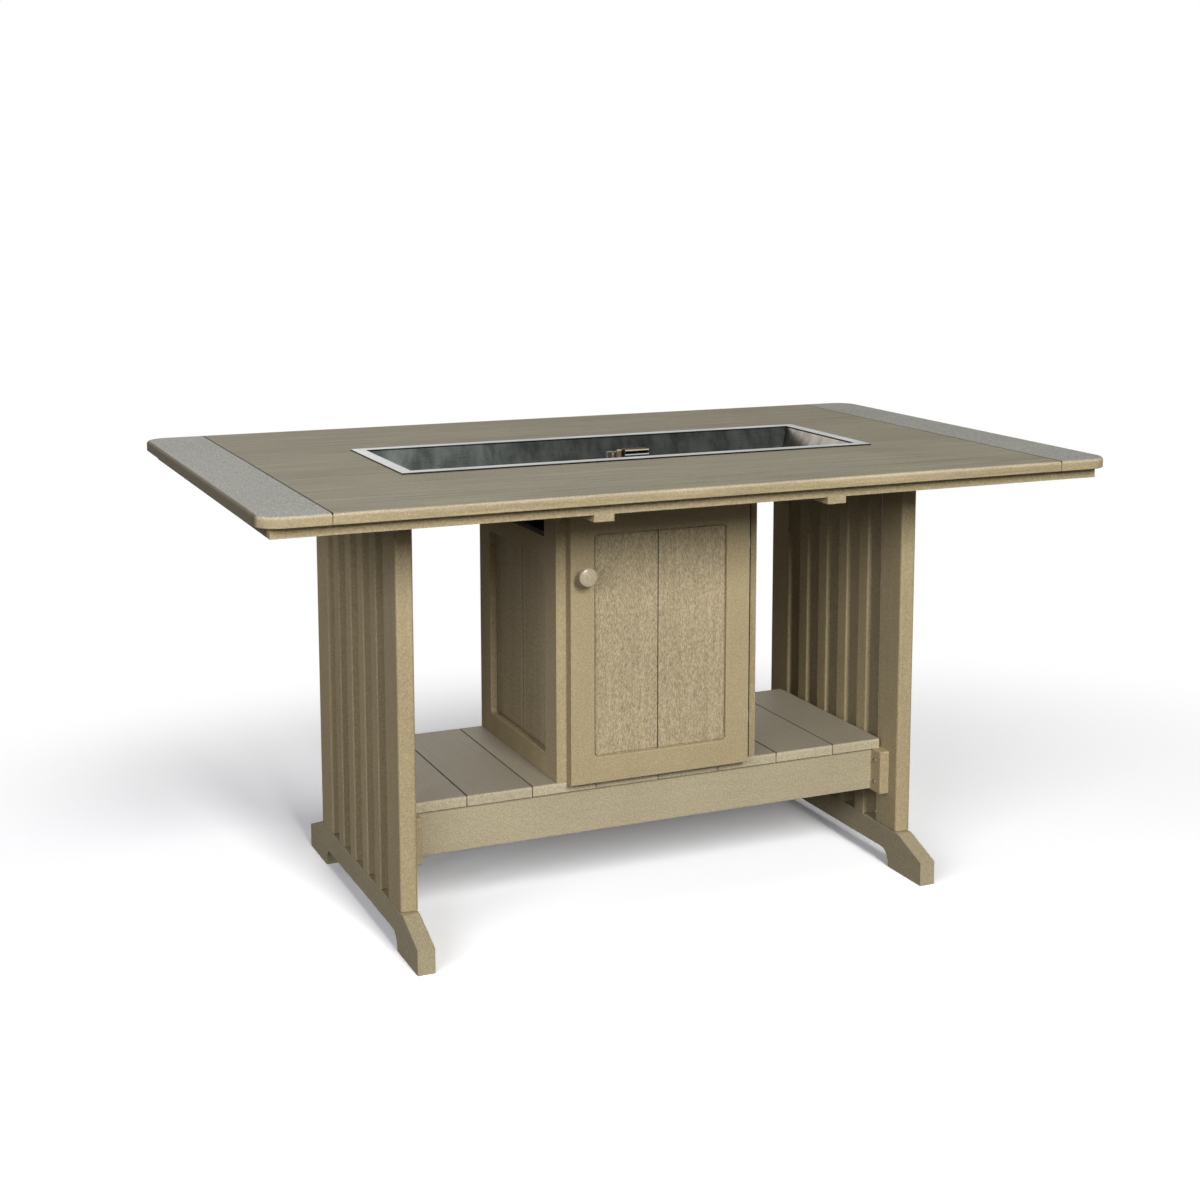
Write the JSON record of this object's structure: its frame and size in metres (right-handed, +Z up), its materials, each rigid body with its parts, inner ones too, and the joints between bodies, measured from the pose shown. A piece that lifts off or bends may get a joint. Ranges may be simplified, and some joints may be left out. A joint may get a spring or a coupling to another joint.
{
  "type": "fire pit table",
  "caption": "Counter-height outdoor table of plastic lumber on slatted trestles, with a drop-in gas fire pan, a lower shelf and a tank cabinet with a hinged door.",
  "frame": {"origin": "on the ground under the middle of the table top", "axes": "+X along the table's length, -Y towards the side with the cabinet door, +Z up"},
  "size_m": [1.829, 1.118, 0.9555],
  "materials": {
    "lumber": "weathered tan plastic lumber with fine lengthwise grain",
    "screw_steel": "dull stainless screw heads",
    "hinge_steel": "stainless hinge leaf",
    "knob_plastic": "polished tan plastic",
    "stainless": "brushed stainless sheet",
    "copper": "bare copper",
    "brass": "machined brass",
    "tube_aluminium": "drawn tube",
    "black_plastic": "moulded",
    "ceramic": "glazed ceramic",
    "lead_cover": "silicone sleeve"
  },
  "bodies": {
    "table": {"end_board_right": "lumber", "end_board_left": "lumber", "field_boards_front": "lumber", "field_boards_back": "lumber", "field_boards_short": "lumber", "apron_front": "lumber", "apron_back": "lumber", "apron_ends": "lumber", "top_cleats": "lumber", "trestle_top_plates": "lumber", "right_foot": "lumber", "left_foot": "lumber", "right_posts": "lumber", "left_posts": "lumber", "right_spindles": "lumber", "left_spindles": "lumber", "front_stretcher": "lumber", "back_stretcher": "lumber", "stretcher_cleats": "lumber", "shelf_boards": "lumber", "left_side_frame": "lumber", "right_side_frame": "lumber", "left_side_panel": "lumber", "right_side_panel": "lumber", "cabinet_back_frame": "lumber", "cabinet_back_panel": "lumber", "front_frame": "lumber", "cleat_screws": "screw_steel", "frame_screws": "screw_steel", "hinge_frame_leaves": "hinge_steel", "hinge_pins": "hinge_steel", "fire_pan": "stainless", "burner_tube": "stainless", "burner_saddles": "stainless", "burner_locknut": "stainless", "igniter_bracket": "stainless", "spark_guard": "stainless", "control_panel": "stainless", "thermocouple": "copper", "thermocouple_lead": "copper", "flame_collector": "brass", "gas_valve": "brass", "gas_inlet_fitting": "brass", "gas_tube": "tube_aluminium", "magnet_catch": "black_plastic", "igniter_case": "black_plastic", "spark_electrode": "ceramic", "ignition_lead": "lead_cover"},
    "door": {"door_latch_stile": "lumber", "door_hinge_stile": "lumber", "door_bottom_rail": "lumber", "door_top_rail": "lumber", "door_panel": "lumber", "door_knob": "knob_plastic", "hinge_door_leaves": "hinge_steel", "strike_plate": "hinge_steel"},
    "gas_knob": {"control_knob": "black_plastic", "valve_stem": "stainless"},
    "igniter_button": {"igniter_button": "black_plastic"}
  },
  "joints": [
    {"name": "door_swing", "type": "hinge", "parent": "table", "child": "door", "pos_m": [0.2065, -0.2358, 0.578], "axis": [0, 0, 1], "range_deg": [0, 105]},
    {"name": "gas_knob_turn", "type": "hinge", "parent": "table", "child": "gas_knob", "pos_m": [-0.03, -0.21, 0.7825], "axis": [0, -1, 0], "range_deg": [0, 180]},
    {"name": "igniter_press", "type": "slide", "parent": "table", "child": "igniter_button", "axis": [0, 1, 0], "range_m": [0, 0.004], "stiffness_N_per_m": 400, "springref_m": -0.005}
  ]
}
